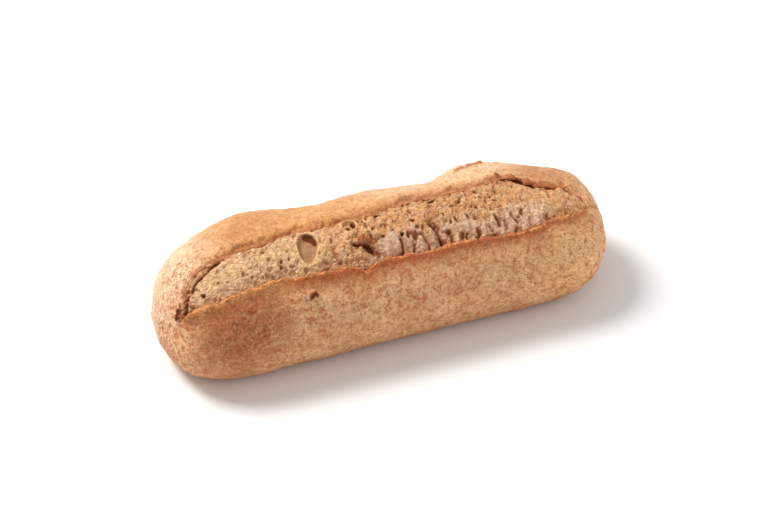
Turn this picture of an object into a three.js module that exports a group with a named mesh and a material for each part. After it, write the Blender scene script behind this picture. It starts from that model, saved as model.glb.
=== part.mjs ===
// A small whole wheat loaf, baked free on a flat stone, with one long slash along its top.
// The slash has opened off centre, towards the front (-Y). The crumb in it has torn into
// strands and bubbles, between a thin raised lip in front and a rolled lip behind it.
//
// Frame, in millimetres: X runs along the loaf, -Y is its front, +Z is up.
// The origin is the middle of the flat base, on the surface that the loaf stands on.
//
// The skin is one closed grid of stations along X and columns round each section. A place on
// it is a station's x and an angle round the section: 0 at the crown, 90 in front, 180 below.

import * as THREE from "three";
import { mergeVertices } from "three/addons/utils/BufferGeometryUtils.js";

// Driving dimensions.
const loafLength = 204.7;
const loafWidth = 74;
const loafHeight = 52;

// Section: the level of the widest line, and how far the round underside would reach down
// if the flat base did not cut it, both as shares of the height.
const waistShare = 0.44;
const undersideShare = 1.36;
const crownFullness = 1.07;
const baseEdgeRound = 5;

// Ends: how far each end's rounding reaches along the loaf, at the front, crown and rear, and
// how far its tip droops below the waist.
const endRoundness = 2.4;
const leftEnd = { front: 39, crown: 40, rear: 59, droop: 6.3 };
const rightEnd = { front: 28, crown: 50, rear: 64, droop: -0.7 };

// Slash: where it starts and stops, the angles of its front lip, and how wide it opens.
const slash = {
  left: -97.5,
  right: 90,
  lipAngle: 39.5,
  leftTipTurn: 12,
  rightTipTurn: -5,
  tipReach: 8,
  opening: 34,
  extraOpening: 12,
  closed: 3,
  bluntness: 5,
};
const frontLip = { rise: 1.4, reach: 4.5, notchAt: -16.5, notchWidth: 2.4 };
const rearLip = { rise: 0.9, reach: 8, undercut: 0.9 };
const trench = { left: 1.1, middle: 4.4, right: 1.7 };
const crumbDepth = 0.6;
const crumbCrown = { left: 1.5, right: 0.7 };

// Cracks where the rear lip has lifted off the crumb, each as x, depth and reach along it.
const cracks = [
  { x: -88, depth: 1.9, along: 9 },
  { x: -66, depth: 0.7, along: 12 },
  { x: 57, depth: 2.1, along: 10 },
  { x: 74, depth: 1.2, along: 5 },
];

// Torn crumb: strands pulled across the slash, and small crags between them.
const strand = { pitch: 5, height: 2, from: -10, to: 62, slant: 4, wander: 2.6 };
const crag = { height: 0.9, size: 5 };

// Swells and hollows that the dough kept, each as x, angle, height and its two reaches. They
// fade out towards the tips.
const swellFree = 9;
const swells = [
  { x: 48, angle: -48, height: 1.8, along: 13, around: 24 },
  { x: 31, angle: -48, height: -3.1, along: 12, around: 28 },
  { x: 12, angle: -48, height: -0.9, along: 8, around: 28 },
  { x: -24, angle: -48, height: -0.4, along: 10, around: 28 },
  { x: -52, angle: -48, height: 3.1, along: 16, around: 28 },
  { x: 80, angle: -45, height: -2.5, along: 12, around: 30 },
  { x: 92, angle: 92, height: -0.8, along: 16, around: 34 },
  { x: -94, angle: 92, height: 2.2, along: 16, around: 34 },
];

// Open bubbles and torn pockets in the crumb, each as x, angle, half sizes and depth.
const bubbles = [
  { x: -37, angle: 17.5, along: 4.3, around: 6.4, depth: 4 },
  { x: -17.5, angle: 10.5, along: 3.2, around: 3.6, depth: 2.6 },
  { x: -13, angle: 25.5, along: 4.4, around: 2.7, depth: 3.6 },
  { x: 26, angle: 0, along: 3, around: 2, depth: 1.6 },
];

// Grid: columns round a section and stations along the loaf.
const lipSteps = [0, 1.8, 4.5];
const skinColumns = 26;
const crumbColumns = 17;
const endStations = 18;
const middleStations = 68;

const degrees = Math.PI / 180;
const halfLength = loafLength / 2;
const stationCount = 2 * endStations + middleStations;
const columnCount = 2 * lipSteps.length + skinColumns + crumbColumns + 5;
const waist = waistShare * loafHeight;
// Length of one degree of section near the crown, used to size things in the slash.
const degreeLength = ((loafWidth / 2) * Math.PI) / 180;

const mix = (a, b, share) => a + (b - a) * share;
const bell = (distance, reach) => Math.exp(-((distance / reach) ** 2));
const smooth = (low, high, value) => THREE.MathUtils.smoothstep(value, low, high);

function hash(i, j) {
  let h = Math.imul(i, 374761393) + Math.imul(j, 668265263);
  h = Math.imul(h ^ (h >>> 13), 1274126177);
  return ((h ^ (h >>> 16)) >>> 0) / 4294967295;
}

// Smooth random relief from -1 to 1, with one bump for each unit of x and y.
function unevenness(x, y) {
  const i = Math.floor(x);
  const j = Math.floor(y);
  const s = smooth(0, 1, x - i);
  const t = smooth(0, 1, y - j);
  const low = mix(hash(i, j), hash(i + 1, j), s);
  const high = mix(hash(i, j + 1), hash(i + 1, j + 1), s);
  return 2 * mix(low, high, t) - 1;
}

// 1 along the loaf's body, falling to 0 at its two tips.
function endRounding(x, reachLeft, reachRight) {
  const left = THREE.MathUtils.clamp((reachLeft - halfLength - x) / reachLeft, 0, 1);
  const right = THREE.MathUtils.clamp((x - halfLength + reachRight) / reachRight, 0, 1);
  const one = (share) => (1 - share ** endRoundness) ** (1 / endRoundness);
  return one(left) * one(right);
}

function endReach(end, angle) {
  const side = mix(end.rear, end.front, (1 + Math.sin(angle * degrees)) / 2);
  return mix(side, end.crown, Math.max(0, Math.cos(angle * degrees)) ** 2);
}

// A point of the plain risen dough, before the slash, the swells and the flat base.
function doughPoint(x, angle) {
  const size = endRounding(x, endReach(leftEnd, angle), endReach(rightEnd, angle));
  const up = Math.cos(angle * degrees);
  const z = up > 0 ? (loafHeight - waist) * up ** crownFullness : undersideShare * waist * up;
  const y = (-loafWidth / 2) * Math.sin(angle * degrees);
  const droop = x < 0 ? leftEnd.droop : rightEnd.droop;
  return new THREE.Vector3(x, y * size, waist + z * size - droop * (1 - size));
}

function doughNormal(x, angle) {
  const step = 0.4;
  const inside = halfLength - step;
  const middle = THREE.MathUtils.clamp(x, -inside, inside);
  const along = doughPoint(middle + step, angle).sub(doughPoint(middle - step, angle));
  const around = doughPoint(middle, angle + 1).sub(doughPoint(middle, angle - 1));
  return around.cross(along).normalize();
}

// The smooth run of the front lip, as an angle.
function frontLipAngle(x) {
  const left = slash.leftTipTurn * Math.exp((slash.left - x) / slash.tipReach);
  const right = slash.rightTipTurn * Math.exp((x - slash.right) / slash.tipReach);
  const tips = Math.min(left, slash.leftTipTurn) + Math.max(right, slash.rightTipTurn);
  return slash.lipAngle + tips - 3 * bell(x + 55, 24);
}

// How far the torn edge of the front lip strays from that run, in degrees.
function frontLipSway(x) {
  return 1.3 * unevenness(x / 8, 3.5) + 4.2 * bell(x - frontLip.notchAt, frontLip.notchWidth);
}

// The slash's opening in degrees. The rear lip sags back over it near the right end.
function opening(x) {
  const share = (x - slash.left) / (slash.right - slash.left);
  const taper = Math.sqrt(Math.max(0, 1 - Math.abs(2 * share - 1) ** slash.bluntness));
  const wide = slash.opening + slash.extraOpening * smooth(-45, 15, x);
  const sag = 9 * bell(x - 73, 9) + 1.2 * unevenness(x / 7, 8.5);
  return Math.max(slash.closed, wide * taper - sag);
}

function swell(x, angle) {
  let height = 0.55 * unevenness(x / 23 + 7, angle / 34 + 40);
  height += 0.3 * unevenness(x / 9, angle / 14 + 9);
  for (const s of swells) {
    const turn = THREE.MathUtils.euclideanModulo(angle - s.angle + 180, 360) - 180;
    height += s.height * bell(x - s.x, s.along) * bell(turn, s.around);
  }
  return height * smooth(0, swellFree, halfLength - Math.abs(x));
}

function crumbRelief(x, angle, share) {
  const place = (angle * degreeLength) / crag.size;
  const crags = crag.height * unevenness(x / crag.size, place + 20);
  const begun = smooth(strand.from - 8, strand.from + 6, x);
  const stretched = begun * (1 - smooth(strand.to, strand.to + 12, x));
  const along = x - strand.slant * share + strand.wander * unevenness(x / 11, 60);
  const wave = Math.abs(Math.sin((Math.PI * along) / strand.pitch));
  const low = smooth(0.35, 0.7, share) * stretched;
  const height = strand.height * (1 + 0.5 * unevenness(x / 8, 70));
  return crags * mix(1, 0.5, low) + height * (wave ** 0.8 - 0.65) * low;
}

function bubbleDepth(x, angle) {
  let depth = 0;
  for (const b of bubbles) {
    const away = Math.hypot((x - b.x) / b.along, ((angle - b.angle) * degreeLength) / b.around);
    const bowl = Math.max(0, 1 - away ** 3) ** 0.7;
    depth += b.depth * bowl - 0.5 * bell(away - 1.2, 0.2);
  }
  return depth;
}

function trenchDepth(x) {
  const front = mix(trench.left, trench.middle, smooth(-32, -8, x));
  return mix(front, trench.right, smooth(48, 74, x));
}

// How far the crumb lies under the dough's skin, at a share from the rear lip, 0, to the front, 1.
function crumbLevel(x, angle, share) {
  const front = (trenchDepth(x) - crumbDepth) * bell(1 - share, 0.3);
  const rear = undercut(x) * bell(share, 0.14);
  const crown = mix(crumbCrown.left, crumbCrown.right, smooth(-50, 0, x)) * Math.sin(Math.PI * share);
  return crown - crumbDepth - front - rear + crumbRelief(x, angle, share) - bubbleDepth(x, angle);
}

// How deep the gap under the rear lip is.
function undercut(x) {
  const depths = cracks.map((crack) => crack.depth * bell(x - crack.x, crack.along));
  return depths.reduce((sum, depth) => sum + depth, rearLip.undercut);
}

// Spaces the crust's columns widest under the flat base and closest round its rim.
function skinShare(share) {
  const base = (0.3 * Math.sin(2 * Math.PI * share)) / (2 * Math.PI);
  const rim = (0.3 * Math.sin(4 * Math.PI * share)) / (4 * Math.PI);
  return share - base + rim;
}

// The columns of one section, each an angle and a rise from the dough's plain skin.
function section(x) {
  const front = frontLipAngle(x);
  const gap = opening(x);
  const rear = front - gap;
  const open = smooth(slash.closed, slash.closed + 11, gap);
  const sway = frontLipSway(x) * open;
  const lifted = undercut(x);
  const columns = [];
  const add = (angle, rise) => columns.push({ angle, rise: rise * open + swell(x, angle) });
  const notch = 1 - 0.8 * bell(x - frontLip.notchAt, frontLip.notchWidth);
  const frontRise = (away) => frontLip.rise * notch * bell(away * degreeLength, frontLip.reach);
  const rearRise = (away) => rearLip.rise * bell(away * degreeLength, rearLip.reach);

  for (const step of lipSteps) {
    add(front + step + sway * bell(step, 5), frontRise(step));
  }
  const lastStep = lipSteps.at(-1) + 4;
  const from = front + lastStep;
  const to = rear + 360 - lastStep;
  for (let i = 0; i < skinColumns; i += 1) {
    const angle = mix(from, to, skinShare(i / (skinColumns - 1)));
    add(angle, frontRise(angle - front) + rearRise(rear + 360 - angle));
  }
  for (const step of lipSteps.toReversed()) {
    add(rear - step, rearRise(step));
  }
  add(rear + 1.2 * open, 0.1 * rearLip.rise - 0.2 * lifted);
  add(rear + (0.6 - 1.1 * lifted) * open, -0.75 * lifted);
  add(rear + 2.2 * open, -lifted - 0.3);
  for (let i = 0; i < crumbColumns; i += 1) {
    const share = (i + 0.6) / crumbColumns;
    const angle = mix(rear + 3 * open, front + sway - 2.4 * open, share);
    add(angle, crumbLevel(x, angle, share));
  }
  add(front + sway - 2 * open, -trenchDepth(x));
  add(front + sway - 0.9 * open, 0.35 * frontRise(0));
  return columns;
}

// The dough settles on the stone: whatever would lie below it is pressed flat.
function pressOnStone(point) {
  if (point.z < baseEdgeRound) {
    point.z = Math.max(0, point.z + baseEdgeRound) ** 2 / (4 * baseEdgeRound);
  }
  return point;
}

// Stations stand close together where the ends curve in, and evenly between them.
function stationX(station) {
  const endLength = 46;
  if (station <= endStations) {
    return -halfLength + endLength * (1 - Math.cos((station / endStations) * 90 * degrees));
  }
  if (station >= stationCount - endStations) {
    return -stationX(stationCount - station);
  }
  const share = (station - endStations) / middleStations;
  return mix(endLength - halfLength, halfLength - endLength, share);
}

// Splits each four-sided cell of the grid along its shorter diagonal, so that the relief
// keeps its shape. The first and last bands of the grid are fans, and have no such cells.
function shorterDiagonals(grid) {
  const index = grid.getIndex();
  const place = grid.getAttribute("position");
  const corner = (i) => new THREE.Vector3().fromBufferAttribute(place, i);
  const fan = 3 * columnCount;
  for (let i = fan; i < index.count - fan; i += 6) {
    const [a, b, d, , c] = index.array.slice(i, i + 5);
    if (corner(a).distanceTo(corner(c)) < corner(b).distanceTo(corner(d))) {
      index.array.set([a, b, c, a, c, d], i);
    }
  }
}

function loafSkin() {
  const grid = new THREE.SphereGeometry(1, columnCount, stationCount);
  const place = grid.getAttribute("position");
  const sections = [];
  for (let station = 0; station <= stationCount; station += 1) {
    const x = stationX(station);
    sections.push({ x, columns: section(x) });
  }
  for (let i = 0; i < place.count; i += 1) {
    const station = stationCount - Math.floor(i / (columnCount + 1));
    const column = (i % (columnCount + 1)) % columnCount;
    const { x, columns } = sections[station];
    const point = doughPoint(x, columns[column].angle);
    if (station > 0 && station < stationCount) {
      point.addScaledVector(doughNormal(x, columns[column].angle), columns[column].rise);
    }
    pressOnStone(point);
    place.setXYZ(i, point.x, point.y, point.z);
  }
  shorterDiagonals(grid);
  grid.deleteAttribute("normal");
  grid.deleteAttribute("uv");
  const skin = mergeVertices(grid, 1e-3);
  skin.computeVertexNormals();
  skin.computeBoundingBox();
  const { min, max } = skin.boundingBox;
  return skin.translate(-(min.x + max.x) / 2, -(min.y + max.y) / 2, -min.z);
}

const bakedCrust = new THREE.MeshStandardMaterial({ color: 0xc48f63, roughness: 0.78, metalness: 0 });

const loaf = new THREE.Mesh(loafSkin(), bakedCrust);
loaf.name = "loaf";

const wheatLoaf = new THREE.Group();
wheatLoaf.add(loaf);

export default wheatLoaf;
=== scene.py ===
import math

import bpy
import numpy as np
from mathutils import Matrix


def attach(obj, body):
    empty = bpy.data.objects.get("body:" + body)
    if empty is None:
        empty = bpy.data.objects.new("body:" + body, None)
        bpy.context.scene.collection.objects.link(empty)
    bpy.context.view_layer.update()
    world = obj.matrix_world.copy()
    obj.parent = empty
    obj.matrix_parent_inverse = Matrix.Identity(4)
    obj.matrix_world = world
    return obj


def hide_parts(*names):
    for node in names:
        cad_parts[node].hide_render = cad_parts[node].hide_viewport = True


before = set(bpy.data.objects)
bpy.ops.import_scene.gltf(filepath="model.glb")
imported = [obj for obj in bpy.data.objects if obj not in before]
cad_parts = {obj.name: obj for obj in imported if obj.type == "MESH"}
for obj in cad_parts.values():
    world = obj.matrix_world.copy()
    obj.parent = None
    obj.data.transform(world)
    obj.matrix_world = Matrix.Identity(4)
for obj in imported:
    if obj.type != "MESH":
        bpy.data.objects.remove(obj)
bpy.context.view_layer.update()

print("frame loaded")

# A small whole wheat loaf with one long slash that tore open along its top as it baked.
# Lengths are millimetres. Angles are degrees round the loaf: 0 at the crown, 90 in front.
millimetre = 0.001
farAway = 99.0  # distance that stands for no edge near


# Small sums on whole arrays
def mixed(a, b, share):
    return a + (b - a) * share


def bell(distance, reach):
    return np.exp(-((distance / reach) ** 2))


def smooth(low, high, value):
    t = np.clip((value - low) / (high - low), 0, 1)
    return t * t * (3 - 2 * t)


# 1, less each share that is lost between its two places
def fading(x, *losses):
    level = 1
    for share, start, end in losses:
        level = level * (1 - share * smooth(start, end, x))
    return level


# The same number from 0 to 1 for the same whole numbers
def hashed(i, j, k=0):
    primes, mask = (374761393, 668265263, 2147483647, 1274126177), 0xFFFFFFFF
    h = (i * primes[0] + j * primes[1] + k * primes[2]) & mask
    h = ((h ^ (h >> 13)) * primes[3]) & mask
    return (h ^ (h >> 16)) / mask


# Smooth random relief from -1 to 1, with one bump for each unit of x and y
def unevenness(x, y):
    x, y = np.broadcast_arrays(np.asarray(x, float), np.asarray(y, float))
    i, j = np.floor(x).astype(np.int64), np.floor(y).astype(np.int64)
    s, t = smooth(0, 1, x - i), smooth(0, 1, y - j)
    low = mixed(hashed(i, j), hashed(i + 1, j), s)
    high = mixed(hashed(i, j + 1), hashed(i + 1, j + 1), s)
    return 2 * mixed(low, high, t) - 1


# Bumps along one line, from waves of a height, a size and where the pattern starts
def wavering(x, waves):
    return sum(height * unevenness(x / size, start) for height, size, start in waves)


# Smooth random relief through space, with bumps of one size. Each seed reads its own part of it.
def cloud(points, size, seed):
    seedStep = 17.3
    p = points / size + seed * seedStep
    cell = np.floor(p).astype(np.int64)
    f = smooth(0, 1, p - cell)
    total = 0
    for a in (0, 1):
        for b in (0, 1):
            for c in (0, 1):
                weight = np.abs(1 - a - f[:, 0]) * np.abs(1 - b - f[:, 1]) * np.abs(1 - c - f[:, 2])
                total = total + weight * hashed(cell[:, 0] + a, cell[:, 1] + b, cell[:, 2] + c)
    return 2 * total - 1


# Clouds laid over each other, each with a height, a size and a seed
def clouded(points, layers):
    return sum(height * cloud(points, size, seed) for height, size, seed in layers)


# Round knobs side by side, each with its own height and number,
# and how far each place is from its knob's middle
def knobs(x, y, seed):
    radius, lowest, variety = 0.95, 0.45, 0.8
    i, j = np.floor(x).astype(np.int64), np.floor(y).astype(np.int64)
    nearest, own = np.full(x.shape, farAway), np.zeros(x.shape)
    for a in (-1, 0, 1):
        for b in (-1, 0, 1):
            number = hashed(i + a, j + b, seed)
            gap = np.hypot(i + a + number - x, j + b + hashed(i + a, j + b, seed + 1) - y)
            own = np.where(gap < nearest, hashed(i + a, j + b, seed + 2), own)
            nearest = np.minimum(nearest, gap)
    height = np.sqrt(np.maximum(0, 1 - (nearest / radius) ** 2)) * (lowest + variety * own)
    return height, own, nearest


# The risen loaf before it tears
dough = {
    "length": 204.7,
    "width": 74,
    "height": 52,
    "waistShare": 0.44,
    "undersideShare": 1.36,
    "crownFullness": 1.07,
    "baseEdge": 5,
    "endRoundness": 2.4,
    "leftEnd": {"front": 39, "crown": 40, "rear": 59, "droop": 6.3},
    "rightEnd": {"front": 28, "crown": 50, "rear": 64, "droop": -0.7},
    "swellFree": 9,
    # x, angle, height, reach along, reach around
    "swells": [
        (48, -48, 1.8, 13, 24),
        (31, -48, -3.1, 12, 28),
        (12, -48, -0.9, 8, 28),
        (-24, -48, -0.4, 10, 28),
        (-52, -48, 3.1, 16, 28),
        (80, -45, -2.5, 12, 30),
        (92, 92, -0.8, 16, 34),
        (-94, 92, 2.2, 16, 34),
    ],
    # height, size along and where the pattern starts, size around and where it starts
    "waves": [(0.55, 23, 7, 34, 40), (0.3, 9, 0, 14, 9)],
}

# The dough's surface
halfLength = dough["length"] / 2
waist = dough["waistShare"] * dough["height"]
degreeLength = math.radians(dough["width"] / 2)


def endReach(end, angle):
    side = mixed(end["rear"], end["front"], (1 + np.sin(np.radians(angle))) / 2)
    return mixed(side, end["crown"], np.maximum(0, np.cos(np.radians(angle))) ** 2)


def endRounding(x, angle):
    reachLeft = endReach(dough["leftEnd"], angle)
    reachRight = endReach(dough["rightEnd"], angle)
    left = np.clip((reachLeft - halfLength - x) / reachLeft, 0, 1)
    right = np.clip((x - halfLength + reachRight) / reachRight, 0, 1)
    power = dough["endRoundness"]
    return (1 - left ** power) ** (1 / power) * (1 - right ** power) ** (1 / power)


def doughPoint(x, angle):
    x, angle = np.broadcast_arrays(np.asarray(x, float), np.asarray(angle, float))
    size = endRounding(x, angle)
    up = np.cos(np.radians(angle))
    top = (dough["height"] - waist) * np.abs(up) ** dough["crownFullness"]
    z = np.where(up > 0, top, dough["undersideShare"] * waist * up)
    y = -dough["width"] / 2 * np.sin(np.radians(angle))
    droop = np.where(x < 0, dough["leftEnd"]["droop"], dough["rightEnd"]["droop"])
    return np.stack([x, y * size, waist + z * size - droop * (1 - size)], -1)


def doughNormal(x, angle):
    step = 0.4
    middle = np.clip(x, step - halfLength, halfLength - step)
    along = doughPoint(middle + step, angle) - doughPoint(middle - step, angle)
    around = doughPoint(middle, angle + 1) - doughPoint(middle, angle - 1)
    normal = np.cross(around, along)
    return normal / np.linalg.norm(normal, axis=-1, keepdims=True)


def swell(x, angle):
    height = 0
    for rise, along, alongStart, around, aroundStart in dough["waves"]:
        height = height + rise * unevenness(x / along + alongStart, angle / around + aroundStart)
    for atX, atAngle, rise, along, around in dough["swells"]:
        turn = (angle - atAngle + 180) % 360 - 180
        height = height + rise * bell(x - atX, along) * bell(turn, around)
    return height * smooth(0, dough["swellFree"], halfLength - np.abs(x))


slash = {
    # x and angle along both lips of the tear
    "front": [(-95, 47.6), (-92.3, 44.8), (-88.5, 42), (-84.4, 42), (-80.8, 42.2), (-76.8, 40.6),
              (-71.8, 38.8), (-67, 38.6), (-63.2, 37.4), (-58.6, 36.4), (-52.6, 35.8), (-48.8, 37),
              (-40, 38.4), (-31.3, 39.2), (-22.5, 39.9), (-18, 41.2), (-16.6, 44), (-14.7, 45),
              (-13.1, 42), (-9.8, 39.8), (-4.7, 39.8), (4.3, 40.6), (11.5, 41.6), (16.5, 41.6),
              (21.8, 40.4), (28.2, 40.7), (35.1, 41.1), (40.3, 41.3), (46.4, 43), (54.2, 43.8),
              (59, 43.5), (64.6, 42.7), (68, 40.6), (72.5, 40), (79, 40.6), (85.3, 39.8), (90, 37.6)],
    "rear": [(-95, 44.6), (-93.8, 42.4), (-93.5, 38), (-93.2, 33), (-92.9, 29.6), (-92.2, 26),
             (-91.1, 22), (-89.8, 18.4), (-88.2, 15.4), (-86.4, 13.2), (-84.2, 11.6), (-82, 10.8),
             (-79.3, 9.8), (-76.2, 8.8), (-73.4, 8.1), (-70.7, 7.4), (-65.4, 5.8), (-60, 5.3),
             (-54.5, 4), (-47.9, 2.2), (-40.5, 0.2), (-36.4, 0.2), (-32.6, 0.4), (-28.5, 1),
             (-24.6, 1), (-19.6, 0.6), (-13.9, 0.8), (-8.9, 1), (-3.1, 0), (1.5, -1.3), (5.4, -2.3),
             (9.4, -3.5), (13.2, -5), (16.4, -5.2), (21.9, -4), (31.9, -4.2), (37.3, -3.6),
             (48.9, -3.4), (55.6, -4.8), (60.4, -3.3), (62.9, -1.6), (65, 2.2), (67.4, 5.6),
             (69.5, 8.2), (72.6, 10.2), (75.4, 10), (78.8, 11.4), (81.4, 13.2), (85, 14.4),
             (86.6, 18), (87.5, 22.5), (88.6, 30), (90, 34)],
    # degrees, size and pattern start of the waves by which each lip strays from its run
    "sways": {"front": [(0.45, 2.6, 31.5), (0.45, 1.2, 47.5)],
              "rear": [(0.9, 5.5, 83.5), (0.8, 2.1, 91.5)]},
    "swayReach": {"front": 5, "rear": 4},
    # degrees between the lips where it is still closed and where it is fully open
    "closed": 3,
    "open": 9,
    "notch": {"at": -15.6, "width": 2.4, "depth": 0.75},
}


# The tear: where its lips run and how far it has opened
def lipAngle(side, x):
    places = slash[side]
    around = [np.interp(x + shift, [p[0] for p in places], [p[1] for p in places]) for shift in (-1, 0, 1)]
    return sum(around) / 3


def openness(x):
    return smooth(slash["closed"], slash["open"], lipAngle("front", x) - lipAngle("rear", x))


# How far a lip strays from its run
def sway(side, x):
    return wavering(x, slash["sways"][side]) * openness(x)


wheatCrust = {
    "frontLip": {
        "rise": 1,
        "reach": 4.5,
        "crest": 0.9,
        "crestReach": 1.5,
        "overhang": 0.3,
        "ragged": 0.9,
        "raggedReach": 2.2,
        "waves": [(0.4, 3.4, 71.5), (0.3, 1.4, 76.5)],  # height, size, pattern start
        # share lost, and the two x between which it is lost
        "calms": [(0.6, 52, 80), (0.5, 76, 88)],
        "sinks": (0.85, 60, 84),
    },
    "rearLip": {
        "rise": 1.1,
        "leastRise": 0.3,
        "crest": 4.2,
        "reach": 3.2,
        "fall": 0.9,
        "fallReach": 1.8,
        "ragged": 0.7,
        "raggedReach": 3,
        "fills": (-86, -66),
        "sinks": (0.8, 68, 78),
        "standsAt": 64,
        "standsReach": 9,
        # x, depth and reach of the places where the lip has lifted
        "lifts": [(-77, 0.9, 2), (-73, 0.5, 1.5), (-62, 0.5, 3), (-55, 0.5, 1.5), (59, 0.5, 2),
                  (63, 1.1, 2), (66.5, 1.5, 2.2), (69.5, 0.9, 1.5), (77, 0.5, 2), (50, 0.4, 3),
                  (24, 0.6, 2), (-3, 0.5, 1.5), (30.8, 0.5, 1.5)],
        "liftWaves": [(0.35, 2.3, 15.5), (0.25, 0.9, 11.5)],
    },
    "bed": 9,
    # a run of x and angle, then width, depth and darkness of the shade painted into it
    "cracks": [
        ([(-95.7, 43.6), (-95, 39.5), (-94.4, 36)], 0.75, 1.8, 1),
        ([(-94.4, 36), (-94, 33), (-93.6, 30)], 0.4, 1, 0.75),
        ([(-84, 9.6), (-78, 7.2), (-74, 6)], 0.45, 0.4, 0.3),
        ([(-93.6, 48), (-92.6, 49.4), (-91, 49.8)], 0.45, 0.5, 0.4),
        ([(-92, 46.4), (-89.4, 46.6)], 0.5, 0.5, 0.4),
        ([(72.4, 7.4), (74.5, 6.4), (77.6, 8)], 0.4, 0.5, 0.35),
        ([(88.8, 24), (89.6, 28)], 0.6, 0.8, 0.6),
        ([(94, 23.4), (94.9, 26)], 0.5, 0.6, 0.4),
        ([(94.6, 37), (96, 38.6)], 0.5, 0.5, 0.4),
        ([(42.8, -31.4), (44.6, -32), (47, -31.8)], 0.9, 2, 0.55),
        ([(48.8, -31.6), (52.2, -32.2), (55.6, -33.4)], 0.8, 2, 0.55),
        ([(-41.6, 52.6), (-41, 51.8), (-39.8, 50.9)], 1.15, 2, 1.2),
        ([(-39.8, 50.9), (-39.2, 52.8)], 0.75, 1.2, 1.1),
        ([(-44.6, 54.6), (-42.6, 54.6)], 0.5, 0.5, 0.4),
        ([(56, -8.2), (57, -7.4)], 0.7, 1.1, 0.7),
        ([(-65, 92), (-61, 92.6), (-58.6, 91)], 0.6, 0.5, 0.4),
        ([(-69, 80), (-66.5, 81.5)], 0.5, 0.4, 0.35),
        ([(22, 60), (22.6, 64)], 0.5, 0.4, 0.35),
    ],
    "blisters": {"count": 150, "small": 0.5, "large": 1.3, "height": 0.3, "lowest": 8, "seed": 4},
    # height, size and seed of the clouds that roughen it
    "grain": [(0.3, 6, 5), (0.28, 2.9, 6), (0.2, 1.7, 7), (0.12, 1, 9)],
    "smoothBase": (0.5, 4),  # heights over the stone between which the grain comes in
    "raggedLips": [(0.8, 2.1, 11), (0.8, 1.1, 12)],
    "raggedCracks": [(0.35, 1.3, 14), (0.2, 0.7, 15)],
    # the first number of a squeeze draws them out along the loaf
    "creases": {"height": 0.32, "size": 1.9, "squeeze": (0.4, 1, 1), "seed": 8, "fade": (-95, -50)},
    "rolls": {"height": 0.45, "size": 3, "squeeze": (0.5, 1, 1), "seed": 13, "away": 5, "reach": 4},
    "columns": {"crust": 166, "tear": 32},
    # how far apart the columns stand at the lips, and what is added between two distances from them
    "spacing": {"lips": 0.5, "added": [(0.55, 2, 16), (3.4, 62, 78)]},
    "stations": {"ends": 130, "middle": 232, "endLength": 46},
}


# How far the rear lip stands up instead of rolling down, and how full it is between the two ends
def rearRoll(x):
    lip = wheatCrust["rearLip"]
    full = smooth(*lip["fills"], x) * fading(x, lip["sinks"])
    return bell(x - lip["standsAt"], lip["standsReach"]), full


# How far the rear lip has lifted off the crumb
def undercut(x):
    lip = wheatCrust["rearLip"]
    lifted = sum(deep * bell(x - at, reach) for at, deep, reach in lip["lifts"])
    return lifted * (1 + wavering(x, lip["liftWaves"]))


# Distance from each place to a run of places, on the unrolled loaf
def distanceToRun(x, angle, run):
    x, angle = np.broadcast_arrays(x, angle)
    spots = np.array([(atX, atAngle * degreeLength) for atX, atAngle in run])
    nearest = np.full(x.shape, farAway)
    for a, b in zip(spots[:-1], spots[1:]):
        along, around = b - a
        dx, dy = x - a[0], angle * degreeLength - a[1]
        t = np.clip((dx * along + dy * around) / (along ** 2 + around ** 2), 0, 1)
        nearest = np.minimum(nearest, np.hypot(dx - t * along, dy - t * around))
    return nearest


# A smooth run through a few control columns
def curveThrough(points, places):
    picks = []
    for t in places:
        i = min(int(t), len(points) - 4)
        u = t - i
        a, b, c, d = points[i:i + 4]
        bend = (2 * a - 5 * b + 4 * c - d) * u ** 2 + (3 * b - a - 3 * c + d) * u ** 3
        picks.append(0.5 * (2 * b + (c - a) * u + bend))
    return np.concatenate(picks, 1)


# Places of the crust's columns: close at both lips, widest under the base
def crustShares(count):
    spacing = wheatCrust["spacing"]
    samples, wholeRun = 400, 200
    share = np.linspace(0, 1, samples)
    away = np.minimum(share, 1 - share) * wholeRun
    gap = spacing["lips"] + sum(more * smooth(start, end, away) for more, start, end in spacing["added"])
    run = np.concatenate([[0], np.cumsum(1 / gap[1:])])
    return np.interp(np.linspace(0, run[-1], count), run, share)


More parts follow.
